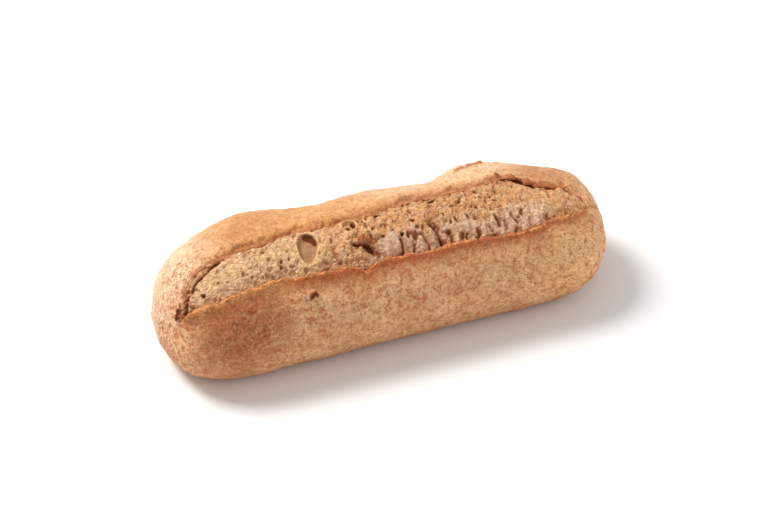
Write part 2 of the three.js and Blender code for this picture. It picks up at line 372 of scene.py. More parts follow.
# Angle and rise of the crust for each station and column: round the loaf, over the rear lip,
# through the tear under the crumb and up to the front lip
def crustColumns(x):
    columns, bed = wheatCrust["columns"], wheatCrust["bed"]
    frontLip, rearLip = wheatCrust["frontLip"], wheatCrust["rearLip"]
    x = x[:, None]
    ones = np.ones_like(x)
    front, rear, isOpen = lipAngle("front", x), lipAngle("rear", x), openness(x)
    gap = front - rear
    swayFront, swayRear, lifted = sway("front", x), sway("rear", x), undercut(x)
    notch = 1 - slash["notch"]["depth"] * bell(x - slash["notch"]["at"], slash["notch"]["width"])
    uneven = (1 + wavering(x, frontLip["waves"])) * fading(x, *frontLip["calms"])
    broadRise = frontLip["rise"] * fading(x, frontLip["sinks"])
    stands, full = rearRoll(x)

    def frontRise(away):
        reach = away * degreeLength
        broad = broadRise * bell(reach, frontLip["reach"])
        return notch * (broad + uneven * frontLip["crest"] * bell(reach, frontLip["crestReach"]))

    def rearRise(away):
        reach = away * degreeLength
        roll = bell(reach - rearLip["crest"] * (1 - stands), rearLip["reach"])
        fall = full * (1 - stands) * bell(reach, rearLip["fallReach"])
        return rearLip["rise"] * np.maximum(full, rearLip["leastRise"]) * roll - rearLip["fall"] * fall

    away = crustShares(columns["crust"])[None, :] * (360 - gap)
    toRear, reach = 360 - gap - away, slash["swayReach"]
    crustAngle = front + away + swayFront * bell(away, reach["front"])
    crustAngle = crustAngle + swayRear * bell(toRear, reach["rear"])
    crustRise = frontRise(away) + rearRise(toRear)
    edge, lip, deep = rear + swayRear, front + swayFront, trenchDepth(x)
    inward = frontLip["overhang"]
    # angle and rise of each place across the tear: down its rear wall, along the bed and up in front
    tear = [
        (edge - 1.6, rearRise(1.6)),
        (edge, rearRise(0)),
        (edge + 0.7 * isOpen, rearRise(0) - 0.5),
        (edge + (0.6 - 0.6 * lifted) * isOpen, rearRise(0) - 0.9 - 0.5 * lifted),
        (edge + (0.5 - 0.5 * lifted) * isOpen, -lifted - 2.4),
        (edge + 1.5 * isOpen, -0.7 * bed * ones),
        (mixed(rear, front, 0.3), -bed * ones),
        (mixed(rear, front, 0.7), -bed * ones),
        (lip - 3.2 * isOpen, -1.2 * deep - 2.5),
        (lip - (1.3 - inward) * isOpen, -0.7 * deep),
        (lip - 1.1 * isOpen, 0.4 * frontRise(0 * x)),
        (lip, frontRise(0 * x)),
        (lip + 1.2, frontRise(0 * x + 1.2)),
    ]
    # more columns at both walls than along the bed
    spans = len(tear) - 3
    places = np.linspace(0, 1, columns["tear"] + 2)[1:-1]
    places = np.interp(places, [0, 0.36, 0.6, 1], [0, 3.2, 6.8, spans])
    inFront = places > spans / 2
    angle = np.concatenate([crustAngle, curveThrough([a for a, rise in tear], places)], 1)
    rise = np.concatenate([crustRise, curveThrough([rise for a, rise in tear], places)], 1)
    wall = smooth(0.7, 2.6, places) * smooth(0.3, 2.2, spans - places)
    far = np.full((len(x), columns["tear"]), farAway)
    marks = {
        "wall": np.concatenate([0 * away, wall * np.ones_like(far)], 1) * isOpen,
        "fromFront": np.concatenate([away * degreeLength, np.where(inFront, 0, far)], 1),
        "fromRear": np.concatenate([toRear * degreeLength, np.where(inFront, far, 0)], 1),
        "open": isOpen * np.ones_like(angle),
        "lifted": np.concatenate([0 * away, smooth(0.35, 0.9, lifted) * ~inFront], 1),
    }
    return angle, rise * isOpen + swell(x, angle), marks


openCrumb = {
    "columns": {"top": 130, "under": 6},
    "stations": 716,
    "depth": 0.6,
    "deepUntil": (64, 78),
    "crown": {"left": 1.5, "right": 0.9, "from": -50, "to": 0},
    # depth along the front lip, and the x between which it changes
    "trench": {"left": 1.2, "middle": 3.6, "right": 1.4, "deepens": (-32, -8), "rises": (48, 74),
               "reach": 0.28, "waves": [(0.15, 4, 21.5)]},
    "rearFoot": {"depth": 0.4, "rolledDepth": 0.9, "reach": 0.07, "liftedAt": 0.04},
    "bed": 8,
    "tuck": {"rear": 1.2, "front": 1.1, "closed": 2.5, "thickness": 3, "under": (0.94, 0.06)},
    # heights of each kind of crumb, and the size of its knobs along the loaf and across the tear
    "torn": {"from": -36, "to": 62, "fadeIn": 26, "fadeOut": 8, "hole": 1, "knob": 1.3, "small": 0.6,
             "rough": 0.34, "knobSize": (2.6, 3.5), "smallSize": (1.2, 1.6), "seed": 1},
    "soft": {"knob": 0.6, "small": 0.2, "rough": 0.17, "knobSize": (2.3, 2.5), "smallSize": (1.1, 1.2),
             "seed": 7},
    "drawn": {"streak": 0.3, "soft": 0.5},
    # start and edge are shares of the way across the tear
    "strands": {"from": -17, "to": 66, "fadeIn": 8, "fadeOut": 12, "height": 0.55, "rough": 0.136,
                "start": 0.55, "edge": 0.16, "wander": [(0.16, 3.1, 5.5)]},
    "unevenness": {"height": 0.35, "size": 8},
    "footHollows": {"depth": 0.8, "darkness": 0.75, "from": (-82, -78)},
    # x, angle, size across, size down, tilt, depth, steepness, rim, darkness of the painted shade (below
    # zero: at its top)
    "pockets": [
        (-36.7, 16.9, 4.3, 8.1, 13, 2.4, 5, 0.55, -1.3),
        (-15.9, 7.8, 3.0, 3.0, 15, 0.9, 5, 0.9, 0),
        (-16.6, 8.8, 1.0, 1.1, 0, 1.1, 3, 0.2, 0.8),
        (-13.9, 7.2, 1.1, 1.8, -25, 1.6, 3, 0.2, 1),
        (-9.8, 2.4, 0.8, 0.6, 0, 1, 3, 0, 0.7),
        (-7.5, 3.6, 0.8, 0.7, 0, 1, 3, 0, 0.8),
        (-2.5, 4.0, 1.9, 0.9, 25, 1.6, 3, 0.1, 1),
        (-7.0, 14.7, 0.7, 0.8, 0, 1, 3, 0, 0.7),
        (2.6, 7.3, 0.7, 0.7, 0, 1, 3, 0, 0.7),
        (10, 1.3, 0.8, 0.6, 0, 1, 3, 0, 0.6),
        (-3.9, 21.8, 1.4, 0.8, 30, 1.0, 3, 0.1, 0.5),
        (4.8, 23.4, 1.0, 1.0, 0, 1.9, 3, 0.1, 1),
        (7.2, 24.6, 0.9, 1.7, 0, 1.6, 3, 0, 0.7),
        (23.6, 1.2, 2.2, 1.1, -10, 2, 3, 0.1, 0.9),
        (30.3, 10.6, 1.4, 0.6, 0, 1, 3, 0, 0.6),
        (34.7, 8.3, 0.8, 1.3, 0, 1.2, 3, 0, 0.7),
        (38.6, 14.7, 0.8, 0.7, 0, 0.9, 3, 0, 0.6),
        (40.7, 15.9, 0.7, 1.0, 0, 1.1, 3, 0, 0.7),
        (45.5, 13.8, 0.6, 1.1, 0, 1, 3, 0, 0.7),
        (49.6, 14.1, 1.7, 0.5, 20, 0.8, 3, 0, 0.5),
        (35.3, 21.7, 0.7, 1.5, -15, 1.2, 3, 0, 0.6),
        (29.9, 21.4, 0.9, 1.5, -15, 1.2, 3, 0, 0.6),
        (25.4, 28.9, 1.1, 1.5, -20, 1.5, 3, 0.1, 0.7),
        (11.1, 15.2, 1.5, 1.0, 30, 1.3, 3, 0.1, 0.7),
        (12.2, 20.6, 1.2, 1.2, 0, 1.2, 3, 0, 0.55),
        (14.6, 21.3, 0.9, 1.3, 0, 1, 3, 0, 0.45),
        (-31.9, 35.4, 2.3, 1.0, -10, 1.1, 3, 0.1, 0.35),
        (-84.8, 32.0, 1.1, 1.2, 0, 1.2, 3, 0.15, 0.8),
        (-77.6, 26.9, 0.9, 1.2, 0, 0.6, 2, 0.1, 0.35),
        (-72.7, 24.0, 0.8, 0.8, 0, 0.4, 2, 0.1, 0.25),
        (-66.9, 25.4, 1.1, 1.3, 0, 0.6, 2, 0.15, 0.3),
        (-63.5, 29.1, 1.0, 1.2, 0, 0.6, 2, 0.1, 0.35),
        (-69.5, 29.4, 0.7, 1.0, 0, 0.4, 2, 0.1, 0.2),
        (-79.5, 19.1, 0.7, 0.6, 0, 0.4, 2, 0, 0.25),
        (-54.3, 19.7, 1.2, 1.4, 0, 0.7, 2, 0.15, 0.25),
        (-55.2, 26.5, 1.7, 1.5, 0, 0.7, 2, 0.15, 0.22),
        (-49.6, 22.8, 0.9, 1.4, 0, 0.9, 2, 0.1, 0.6),
        (-48.6, 29.6, 1.4, 1.4, 0, 0.8, 2, 0.1, 0.35),
        (-45.9, 21.9, 0.8, 1.3, 0, 0.8, 2, 0.1, 0.6),
        (-54.7, 6.6, 0.8, 0.7, 0, 0.8, 3, 0, 0.6),
        (-61.5, 8.4, 2.4, 0.5, 0, 0.5, 3, 0, 0.5),
    ],
    # a run of x and angle, then width, depth (below zero stands up), darkness of the painted shade, redness
    "gaps": [
        # along the left end, under the rear lip
        ([(-93, 41.6), (-92.2, 38.2)], 0.5, 1.3, 1.4, 0.5),
        ([(-91.9, 36.5), (-91.2, 32.7)], 0.6, 1.4, 1.4, 0.5),
        ([(-90.6, 30), (-89.8, 27.6)], 0.45, 1, 0.9, 0.6),
        ([(-88.3, 25), (-87.2, 21.8), (-85.6, 19.3), (-83.4, 17.4)], 0.45, 1.4, 1.5, 1),
        ([(-83.4, 17.4), (-81.6, 15.6), (-79.4, 13.8)], 0.4, 1.1, 0.8, 0.6),
        ([(-79.8, 12.6), (-77.3, 11), (-74.6, 9.8)], 0.65, 1.5, 1.1, 0.4),
        ([(-91.6, 31), (-90.5, 26), (-88.8, 20.8), (-86.2, 16.4), (-83.2, 13.8)], 1, -0.5, 0, 0.34),
        ([(-92.2, 32), (-91, 26.6), (-89.6, 21.6)], 0.3, 0.6, 0.4, 0.9),
        ([(-88.6, 18.6), (-86.8, 15.4), (-84, 13.2)], 0.3, 0.5, 0.3, 0.7),
        ([(-91, 24.8), (-89.4, 23.6)], 0.3, 0.5, 0.4, 0.5),
        # the cavity near the middle, with a browned knob over it
        ([(-16.8, 23), (-14.4, 23.7), (-12.8, 25)], 0.7, 1.6, 1.6, 0.7),
        ([(-12.8, 25), (-11.4, 26.8), (-10.2, 29)], 1.05, 2, 1.6, 0.7),
        ([(-10, 29.6), (-8.4, 32)], 0.7, 0.6, 0.35, 1),
        ([(-13.4, 20.2), (-10, 22.8)], 1.2, -1, 0, 1),
        # between the strands
        ([(3.3, 26), (3.8, 30), (3.2, 36)], 0.55, 1.3, 0.85, 0.2),
        ([(2, 36), (-0.5, 40)], 0.7, 0.9, 0.6, 0.5),
        ([(9, 32), (8.4, 36), (7.4, 40)], 0.45, 1.2, 0.9, 0),
        ([(13.4, 26), (15, 34), (15, 38)], 0.6, 1.2, 0.7, 0),
        ([(18.4, 20), (20.2, 26.7), (20.9, 31.6), (21.4, 36)], 0.8, 1.8, 1, 0.1),
        ([(21.4, 35.2), (21.8, 38)], 0.9, 1.1, 0.8, 0.7),
        ([(24.5, 28.5), (26, 33), (25.6, 37), (23.6, 40)], 0.6, 1.2, 0.8, 0.4),
        ([(31.3, 32), (31.1, 35)], 0.7, 1.2, 0.9, 0.6),
        ([(32.9, 33), (32.6, 37), (31.4, 41)], 0.5, 1.2, 0.8, 0.3),
        ([(38, 32), (38.4, 35.5), (37.3, 38.5)], 0.7, 1.4, 0.95, 0.2),
        ([(43.4, 30), (44.4, 35)], 0.5, 0.7, 0.3, 0),
        ([(47.2, 25.6), (48.3, 29), (48.4, 33)], 0.6, 1.4, 0.95, 0.2),
        ([(45, 39), (46, 41)], 0.7, 1, 0.7, 0.5),
        ([(50.8, 29.8), (51.4, 36)], 0.5, 0.8, 0.5, 0),
        ([(54.4, 26), (55, 30), (56.6, 34.5)], 0.5, 1, 0.75, 0),
        ([(54.7, 41), (55.4, 38)], 0.7, 1, 0.7, 0.6),
        ([(62, 33), (61.6, 40)], 0.5, 0.5, 0.3, 0),
        ([(69.9, 34), (69.6, 38.6)], 0.6, 1, 0.7, 0.1),
        ([(73.3, 37), (73.2, 40)], 0.5, 0.8, 0.5, 0),
        ([(79.3, 33.5), (79.6, 37.5)], 0.5, 0.6, 0.4, 0),
        # towards the right end
        ([(72.4, 12.5), (74.2, 14), (74.2, 21.5)], 0.5, 0.6, 0.45, 0),
        ([(74.5, 11), (76.2, 13), (78.5, 14)], 0.45, 1.2, 0.9, 0.2),
        ([(83.2, 14.8), (84.4, 17.4), (85.2, 22)], 0.45, 1.3, 0.9, 0.2),
        ([(82.6, 16.4), (83.8, 20)], 0.35, 0.8, 0.6, 0.2),
        # reddish streaks, and ridges that stand up
        ([(-26.4, 22.4), (-26.2, 28), (-25.6, 33)], 0.6, 0.6, 0.25, 0.4),
        ([(-31.4, 30.5), (-29.6, 32.5)], 0.6, 0.4, 0.1, 0.4),
        ([(8.4, 23.4), (11.8, 26)], 0.7, 0.4, 0.2, 0.6),
        ([(21.9, 5), (20.5, 14.7), (19.3, 19.5)], 1.2, 0.8, 0.15, 0),
        ([(-11.5, 15), (-8, 18)], 2, -1, 0, 0),
        ([(-20, 17), (-16.4, 14.4)], 1.1, -0.8, 0, 0),
        ([(-50.7, 14), (-51.6, 22), (-52.8, 28)], 0.7, -0.8, 0, 0),
        ([(-44, 12.5), (-43.2, 22), (-46.4, 28.5)], 0.7, -0.6, 0, 0),
        ([(-29.6, 14), (-31.4, 24), (-35.2, 30.5)], 0.9, -0.5, 0, 0),
        ([(-8.2, 26), (-6.2, 32)], 0.8, -0.7, 0, 0.3),
        ([(22.8, 34), (23.6, 38)], 0.7, -0.9, 0, 0.2),
        ([(28.3, 30), (28.4, 38)], 0.9, -0.5, 0, 0),
    ],
    # from x, to x, from share, to share, how many, smallest and largest radius, depth, darkness of the
    # painted shade
    "pits": {
        "left": (-93, -40, 0.08, 1, 110, 0.4, 1.1, 0.7, 0.35),
        "bubbly": (-60, -8, 0.05, 1, 55, 0.5, 1.3, 0.9, 0.5),
        "torn": (-14, 60, 0.05, 0.7, 42, 0.5, 1.5, 1.1, 0.55),
        "right": (56, 87, 0.1, 0.95, 20, 0.35, 0.8, 0.6, 0.3),
    },
    # how tall for their width, how far turned in radians, how rare the large ones are
    "pitShape": {"tall": (0.8, 2.2), "turn": (-0.7, 0.7), "fewLarge": 2.2, "rim": 0.15, "faintest": 0.4},
    "seed": 7,
}


# How deep the pockets lie, how high their rims stand and how much shade is painted into them
def pocketRelief(x, angle):
    depth, rim, dark = 0, 0, 0
    narrowing, wobble, wobbleSize = 0.17, 0.25, 0.8
    for atX, atAngle, across, down, tilt, deep, steep, edge, tint in openCrumb["pockets"]:
        turn = math.radians(tilt)
        dx, dy = x - atX, (angle - atAngle) * degreeLength
        a = dx * math.cos(turn) + dy * math.sin(turn)
        b = (dy * math.cos(turn) - dx * math.sin(turn)) / down
        away = np.hypot(a / (across * (1 - narrowing * b)), b)
        waves = unevenness(x / wobbleSize + atX, angle * degreeLength / wobbleSize)
        away = away * (1 + wobble / across ** 1.6 * waves)
        inside = np.maximum(0, 1 - away ** steep) ** (0.7 if steep > 3 else 1.2)
        depth = depth + deep * inside
        rim = rim + edge * bell(away - 1.12, 0.6 / across)
        # painted shade under the roof falls only on the upper right of a large bubble
        roof = smooth(-0.4, -0.8, b - 0.5 * a / across) * smooth(0.45, 0.75, away) if tint < 0 else 1
        dark = np.maximum(dark, abs(tint) * inside ** 0.5 * roof)
    return depth, rim, dark


# How deep the crumb lies along the front lip
def trenchDepth(x):
    trench = openCrumb["trench"]
    front = mixed(trench["left"], trench["middle"], smooth(*trench["deepens"], x))
    front = mixed(front, trench["right"], smooth(*trench["rises"], x))
    return front * (1 + wavering(x, trench["waves"]))


# The crumb's broad height over the dough's surface, at a share of the way from the rear lip
def crumbLevel(x, share):
    trench, foot, crown = openCrumb["trench"], openCrumb["rearFoot"], openCrumb["crown"]
    front = (trenchDepth(x) - openCrumb["depth"]) * bell(1 - share, trench["reach"])
    stands, full = rearRoll(x)
    rear = (foot["depth"] + foot["rolledDepth"] * full * (1 - stands)) * bell(share, foot["reach"])
    rear = undercut(x) * bell(share - foot["liftedAt"], foot["reach"]) + rear
    crown = mixed(crown["left"], crown["right"], smooth(crown["from"], crown["to"], x))
    sunk = openCrumb["depth"] * smooth(0, 0.3, share) * (1 - smooth(*openCrumb["deepUntil"], x))
    return crown * np.sin(math.pi * share) - sunk - front - rear


# How much of each kind of crumb lies at each place
def crumbKinds(x, share):
    torn, strands = openCrumb["torn"], openCrumb["strands"]
    drawn = smooth(torn["to"] - torn["fadeOut"], torn["to"] + torn["fadeOut"], x)
    inTorn = smooth(torn["from"], torn["from"] + torn["fadeIn"], x) * (1 - drawn)
    start = strands["start"] + wavering(x, strands["wander"])
    inStrands = smooth(start, start + strands["edge"], share)
    inStrands = inStrands * smooth(strands["from"], strands["from"] + strands["fadeIn"], x)
    inStrands = inStrands * (1 - smooth(strands["to"], strands["to"] + strands["fadeOut"], x))
    return {"torn": inTorn, "drawn": drawn, "soft": (1 - inTorn) * (1 - drawn), "strands": inStrands}


# Knobs, streaks and fibres of every kind of crumb, and how much shade is painted into the hollow torn knobs
def crumbTexture(x, down, kinds):
    torn, soft, drawn, strands = (openCrumb[name] for name in ("torn", "soft", "drawn", "strands"))
    # the patterns are bent so that no row of knobs is straight
    broad, fine = 1.1, 0.5
    bentX = x + broad * unevenness(x / 3.7, down / 3.7 + 50) + fine * unevenness(x / 1.5, down / 1.5 + 20)
    bentDown = down + broad * unevenness(x / 3.1 + 30, down / 3.1)
    bentDown = bentDown + fine * unevenness(x / 1.5 + 60, down / 1.5)
    roughness = unevenness(bentX / 1.3, bentDown / 1.3 + 80) + 0.7 * unevenness(x / 0.75, down / 0.75 + 90)

    # large and small knobs of one kind of crumb
    def knobbly(part):
        (along, across), (smallAlong, smallAcross), middle = part["knobSize"], part["smallSize"], 0.7
        big, own, away = knobs(bentX / along, bentDown / across, part["seed"])
        small = knobs(bentX / smallAlong, bentDown / smallAcross, part["seed"] + 3)[0]
        height = part["knob"] * (big - middle) + part["small"] * (small - middle)
        return height + part["rough"] * roughness, own, away

    tornRelief, own, fromMiddle = knobbly(torn)
    hollow = smooth(0.88, 0.93, own) * np.maximum(0, 1 - (fromMiddle / 0.5) ** 2)
    tornRelief = tornRelief - torn["hole"] * hollow
    softRelief = knobbly(soft)[0]
    streaks = unevenness(bentX / 1.5, down / 6) + 0.6 * unevenness(x / 0.8, down / 3.5)
    drawnRelief = drawn["streak"] * streaks + drawn["soft"] * softRelief
    fibres = unevenness(bentX / 2.1, down / 9) + 0.9 * unevenness(x / 0.9, down / 4)
    strandRelief = strands["height"] * fibres + strands["rough"] * roughness

    broadly = openCrumb["unevenness"]
    relief = kinds["torn"] * tornRelief * (1 - 0.8 * kinds["strands"])
    relief = relief + kinds["soft"] * softRelief + kinds["drawn"] * drawnRelief
    relief = relief + kinds["strands"] * strandRelief
    relief = relief + broadly["height"] * unevenness(x / broadly["size"], down / broadly["size"])
    return relief, 0.7 * kinds["torn"] * (1 - kinds["strands"]) * hollow


# Pits are scattered where no shade is painted yet, into the relief and the painted shade
def addPits(x, down, share, rough, relief, dark):
    shape, random = openCrumb["pitShape"], np.random.RandomState(openCrumb["seed"])
    for left, right, high, low, count, small, large, deep, darkness in openCrumb["pits"].values():
        choice = np.flatnonzero((x > left) & (x < right) & (share > high) & (share < low) & (dark < 0.3))
        for centre in choice[random.randint(len(choice), size=count)]:
            size = mixed(small, large, random.rand() ** shape["fewLarge"])
            tall, turn = mixed(*shape["tall"], random.rand()), mixed(*shape["turn"], random.rand())
            near = np.abs(x - x.flat[centre]) < 2 * size
            dx, dy = x[near] - x.flat[centre], down[near] - down.flat[centre]
            across = dx * math.cos(turn) - dy * math.sin(turn)
            gap = np.hypot(across, (dx * math.sin(turn) + dy * math.cos(turn)) / tall) / size * rough[near]
            inside = np.maximum(0, 1 - gap ** 2) ** 1.3
            relief[near] += size * (shape["rim"] * bell(gap - 1.15, 0.3) - deep * inside)
            tint = darkness * inside * mixed(shape["faintest"], 1, random.rand())
            dark[near] = np.maximum(dark[near], tint)


# The crumb's texture on the unrolled loaf, and what to colour by
def crumbRelief(x, angle, share):
    x, angle, share = np.broadcast_arrays(x, angle, share)
    down = angle * degreeLength
    kinds = crumbKinds(x, share)
    relief, dark = crumbTexture(x, down, kinds)
    red, pale = 0 * x, 0 * x
    rough = 1 + 0.42 * unevenness(x / 1.2, down / 1.2) + 0.25 * unevenness(x / 0.6, down / 0.6)
    for run, width, deep, darkness, redness in openCrumb["gaps"]:
        gap = distanceToRun(x, angle, run) * rough
        relief = relief - deep * (0.85 * bell(gap, 1.25 * width) + 0.2 * bell(gap, 2.6 * width))
        dark = np.maximum(dark, 0.7 * darkness * bell(gap, 1.2 * width))
        red = np.maximum(red, (redness + 0.4 * (deep > 0)) * bell(gap, 1.9 * width))
        pale = np.maximum(pale, (deep < 0) * bell(gap, width))
    addPits(x, down, share, rough, relief, dark)

    # broken hollows along the foot of the rear lip, with shade painted into them
    hollows = openCrumb["footHollows"]
    foot = smooth(0.1, 0.6, unevenness(x / 3.1, 55.5) + 0.6 * unevenness(x / 1.1, down / 1.1))
    foot = foot * bell(share - 0.045, 0.055) * smooth(*hollows["from"], x)
    relief = relief - hollows["depth"] * foot
    dark = np.maximum(dark, hollows["darkness"] * foot)

    depth, rim, hole = pocketRelief(x, angle)
    calm = np.clip(1 - 0.8 * depth - 0.9 * rim, 0.3, 1)
    relief = relief * calm - depth + rim
    dark = np.maximum(dark * calm, hole)
    # painted shade under the places where the rear lip has lifted too
    dark = np.maximum(dark, 0.65 * smooth(0.3, 1, undercut(x)) * bell(share - 0.03, 0.045))
    # dark is the painted shade; pale marks the rims and raised ridges that get a painted highlight
    marks = {"dark": dark, "red": red, "pale": np.maximum(pale, rim)}
    return relief, {**marks, "strand": kinds["strands"], "pocket": np.clip(depth / 2, 0, 1)}


# Angle and rise of the crumb for each station and column: across the tear, and back underneath
def crumbColumns(x):
    columns, tuck = openCrumb["columns"], openCrumb["tuck"]
    x = x[:, None]
    isOpen = openness(x)
    rear = lipAngle("rear", x) + sway("rear", x) - tuck["rear"] * isOpen
    front = lipAngle("front", x) + sway("front", x) - tuck["front"] * isOpen
    share = np.linspace(0, 1, columns["top"])[None, :]
    back = np.linspace(*tuck["under"], columns["under"])[None, :]
    angle = mixed(rear, front, share)
    relief, marks = crumbRelief(x, angle, share)
    relief = relief * smooth(0, 0.04, share) * smooth(1.02, 0.96, share)
    top = (crumbLevel(x, share) + relief) * isOpen - tuck["closed"] * (1 - isOpen)
    under = np.ones_like(back) * (-openCrumb["bed"] * isOpen - tuck["thickness"])
    down = (front - rear) * degreeLength
    marks = {**marks, "detail": relief, "fromFront": down * (1 - share), "fromRear": down * share}
    marks = {name: np.concatenate([values, 0 * under], 1) for name, values in marks.items()}
    angle = np.concatenate([angle, mixed(rear, front, back)], 1)
    return angle, np.concatenate([top, under], 1) + swell(x, angle), marks


def crustStations():
    ends, endLength = wheatCrust["stations"]["ends"], wheatCrust["stations"]["endLength"]
    left = -halfLength + endLength * (1 - np.cos(np.arange(ends) / ends * math.pi / 2))
    body = np.linspace(endLength - halfLength, halfLength - endLength, wheatCrust["stations"]["middle"] + 1)
    return np.concatenate([left, body, -left[::-1]])


# Helpers for the meshes
def deselectAll():
    if bpy.context.object and bpy.context.object.mode != "OBJECT":
        bpy.ops.object.mode_set(mode="OBJECT")
    bpy.ops.object.select_all(action="DESELECT")


def pickOnly(thing):
    deselectAll()
    thing.select_set(True)
    bpy.context.view_layer.objects.active = thing


def readPoints(thing, name="co"):
    values = np.empty(len(thing.data.vertices) * 3, np.float32)
    thing.data.vertices.foreach_get(name, values)
    return values.reshape(-1, 3).astype(float)


def movePoints(thing, points):
    thing.data.vertices.foreach_set("co", np.asarray(points, np.float32).ravel())
    thing.data.update()


def keepNumber(thing, name, values):
    layer = thing.data.attributes.new(name, "FLOAT", "POINT")
    layer.data.foreach_set("value", np.asarray(values, np.float32))


# A round blank with its poles along the loaf, and which station and column each of its points is
def makeBlank(name, stations, columns):
    deselectAll()
    bpy.ops.mesh.primitive_uv_sphere_add(segments=columns, ring_count=stations, radius=1)
    blank = bpy.context.object
    blank.name = blank.data.name = name
    points = readPoints(blank)
    station = np.rint(np.arccos(np.clip(points[:, 2], -1, 1)) / math.pi * stations).astype(int)
    turn = np.arctan2(points[:, 1], points[:, 0]) / (2 * math.pi) * columns
    return blank, station, np.rint(turn).astype(int) % columns


def finishMesh(thing):
    pickOnly(thing)
    bpy.ops.object.mode_set(mode="EDIT")
    bpy.ops.mesh.select_all(action="SELECT")
    bpy.ops.mesh.normals_make_consistent(inside=False)
    bpy.ops.object.mode_set(mode="OBJECT")
    bpy.ops.object.shade_smooth()
    print(thing.name + ":", len(thing.data.polygons), "faces")


def pressOnStone(points):
    edge = dough["baseEdge"]
    z = points[:, 2]
    low = z < edge
    z[low] = np.maximum(0, z[low] + edge) ** 2 / (4 * edge)


# How far each point stands above what is round it on the grid
def standing(height, station, column):
    field = np.zeros((station.max() + 1, column.max() + 1))
    field[station, column] = height
    level = field
    for _ in range(3):
        for axis in (0, 1):
            level = sum(np.roll(level, step, axis) for step in (-2, -1, 0, 1, 2)) / 5
    return (field - level)[station, column]


# What roughens the crust: grain, creases, blisters, ragged lips and rolls
def crustRelief(points, marks):
    grain = clouded(points, wheatCrust["grain"])
    # fine creases run along the darker left end
    creases = wheatCrust["creases"]
    lines = cloud(points * np.array(creases["squeeze"]), creases["size"], creases["seed"])
    left = 1 - smooth(*creases["fade"], points[:, 0])
    lines = creases["height"] * (0.4 - np.abs(lines) * 2)
    grain = grain + lines * left * smooth(0, 8, -points[:, 1])
    blisters = wheatCrust["blisters"]
    random = np.random.RandomState(blisters["seed"])
    upper = np.flatnonzero((points[:, 2] > blisters["lowest"]) & (marks["wall"] < 0.1))
    for centre in upper[random.randint(len(upper), size=blisters["count"])]:
        size = mixed(blisters["small"], blisters["large"], random.rand() ** 2)
        away = np.linalg.norm(points - points[centre], axis=1)
        grain = grain + blisters["height"] * size * bell(away, size)
    frontLip, rearLip, stands = wheatCrust["frontLip"], wheatCrust["rearLip"], rearRoll(points[:, 0])[0]
    lips = frontLip["ragged"] * bell(marks["fromFront"], frontLip["raggedReach"])
    lips = lips + rearLip["ragged"] * (1 + 0.5 * stands) * bell(marks["fromRear"], rearLip["raggedReach"])
    lips = lips * marks["open"] * clouded(points, wheatCrust["raggedLips"])
    # short rolls lie along the rear lip
    rolls = wheatCrust["rolls"]
    rolled = bell(marks["fromRear"] - rolls["away"], rolls["reach"]) * marks["open"]
    rolled = rolled * cloud(points * np.array(rolls["squeeze"]), rolls["size"], rolls["seed"])
    grain = grain * smooth(*wheatCrust["smoothBase"], points[:, 2]) * (1 - 0.5 * marks["wall"])
    return grain + lips + rolls["height"] * rolled


def makeCrust():
    places = crustStations()
    angle, rise, marks = crustColumns(places)
    crust, station, column = makeBlank("wheatCrust", len(places) - 1, angle.shape[1])
    inside = (station > 0) & (station < len(places) - 1)
    x, turn = places[station], angle[station, column]
    marks = {name: values[station, column] * inside for name, values in marks.items()}
    points = doughPoint(x, turn) + doughNormal(x, turn) * (rise[station, column] * inside)[:, None]
    movePoints(crust, points)
    normals = readPoints(crust, "normal")

    relief = crustRelief(points, marks)
    # crack holds how much shade is painted into the cracks
    crack = np.zeros(len(points))
    ragged = 1 + clouded(points, wheatCrust["raggedCracks"])
    around = (turn + 180) % 360 - 180
    for run, width, deep, darkness in wheatCrust["cracks"]:
        near = bell(distanceToRun(x, around, run) * ragged, width)
        relief -= deep * near
        crack = np.maximum(crack, darkness * near)
    points = points + normals * relief[:, None]
    pressOnStone(points)
    low, high = points.min(0), points.max(0)
    shift = -np.array([(low[0] + high[0]) / 2, (low[1] + high[1]) / 2, low[2]])
    movePoints(crust, (points + shift) * millimetre)
    finishMesh(crust)

    keepNumber(crust, "relief", standing(relief, station, column))
    keepNumber(crust, "crack", crack)
    for name in ("wall", "lifted"):
        keepNumber(crust, name, marks[name])
    for name in ("fromFront", "fromRear"):
        keepNumber(crust, name, np.where(marks["open"] > 0.25, marks[name], farAway))
    return crust, shift


def makeCrumb(shift):
    places = np.linspace(slash["front"][0][0], slash["front"][-1][0], openCrumb["stations"] + 1)
    angle, rise, marks = crumbColumns(places)
    crumb, station, column = makeBlank("openCrumb", openCrumb["stations"], angle.shape[1])
    x, turn = places[station], angle[station, column]
    points = doughPoint(x, turn) + doughNormal(x, turn) * rise[station, column][:, None]
    movePoints(crumb, (points + shift) * millimetre)
    finishMesh(crumb)
    marks = {name: values[station, column] for name, values in marks.items()}
    keepNumber(crumb, "relief", standing(marks.pop("detail"), station, column))
    for name, values in marks.items():
        keepNumber(crumb, name, values)
    return crumb


